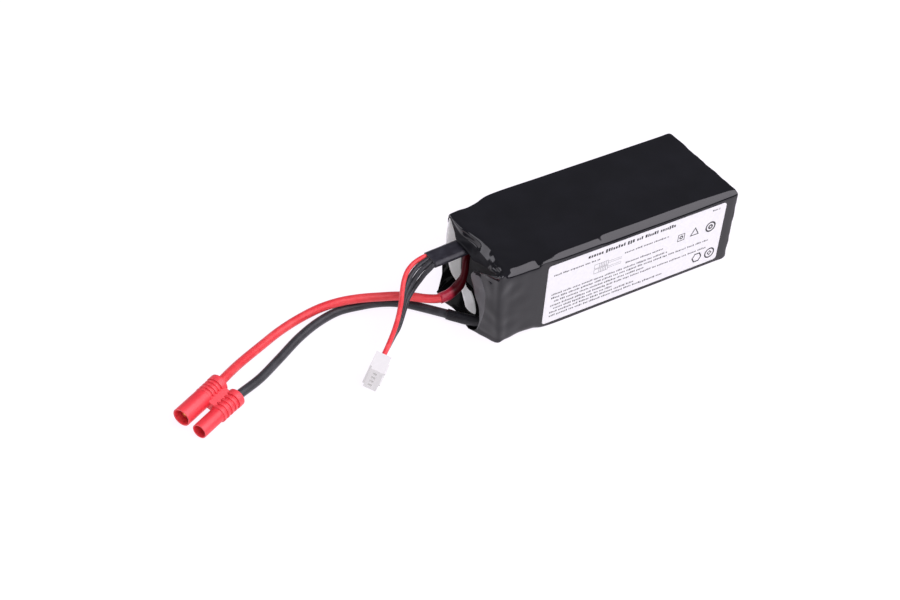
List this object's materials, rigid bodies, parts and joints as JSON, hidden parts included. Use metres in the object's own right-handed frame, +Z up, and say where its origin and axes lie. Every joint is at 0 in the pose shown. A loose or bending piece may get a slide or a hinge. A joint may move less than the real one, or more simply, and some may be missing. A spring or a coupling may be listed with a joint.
{
  "type": "lithium polymer battery pack",
  "caption": "Shrink-wrapped block of pouch cells for a radio-controlled model, with red and black power leads to a twin bullet connector and a balance lead to a small white plug.",
  "frame": {"origin": "on the surface the pack lies on, under the middle of the pack's box, leads left out", "axes": "+X along the pack away from its leads, +Y away from the label side, +Z up"},
  "size_m": [0.2024, 0.0456, 0.0288],
  "materials": {
    "film": "glossy black heat-shrink film, slightly wrinkled",
    "label": null,
    "pouch": "satin laminated foil",
    "foam": "soft double-sided foam",
    "nickel": "satin nickel strip",
    "board": "green solder mask",
    "tape": "amber polyimide tape",
    "card": "black insulating card",
    "solder": "bright solder",
    "red_silicone": "soft satin silicone rubber",
    "black_silicone": "soft satin silicone rubber",
    "black_shrink": "matt heat-shrink tube",
    "red_shrink": "dark red heat-shrink tube",
    "red_nylon": "satin moulded nylon",
    "gold": "gold-plated brass",
    "liner": "pale uncoated paper lining",
    "white_nylon": "natural white moulded nylon"
  },
  "bodies": {
    "root": {"balance_contact_1": "nickel", "balance_contact_2": "nickel", "balance_contact_3": "nickel", "balance_contact_4": "nickel", "balance_plug_housing": "white_nylon", "balance_sleeve": "black_shrink", "balance_solder_joint_1": "solder", "balance_solder_joint_2": "solder", "balance_solder_joint_3": "solder", "balance_solder_joint_4": "solder", "balance_wire_1": "black_silicone", "balance_wire_2": "black_silicone", "balance_wire_3": "black_silicone", "balance_wire_4": "red_silicone", "bundle_tape": "tape", "cell_1": "pouch", "cell_1_negative_tab": "nickel", "cell_1_positive_tab": "nickel", "cell_2": "pouch", "cell_2_negative_tab": "nickel", "cell_2_positive_tab": "nickel", "cell_3": "pouch", "cell_3_negative_tab": "nickel", "cell_3_positive_tab": "nickel", "cell_pad_1": "foam", "cell_pad_2": "foam", "front_insulator": "card", "info_label": "label", "mouth_liner": "liner", "negative_bullet": "gold", "negative_solder_joint": "solder", "negative_wire_boot": "black_shrink", "positive_bullet": "gold", "positive_solder_joint": "solder", "positive_wire_boot": "red_shrink", "power_connector_housing": "red_nylon", "power_wire_negative": "black_silicone", "power_wire_positive": "red_silicone", "rear_insulator": "card", "shrink_sleeve": "film", "tab_board": "board"}
  },
  "joints": []
}
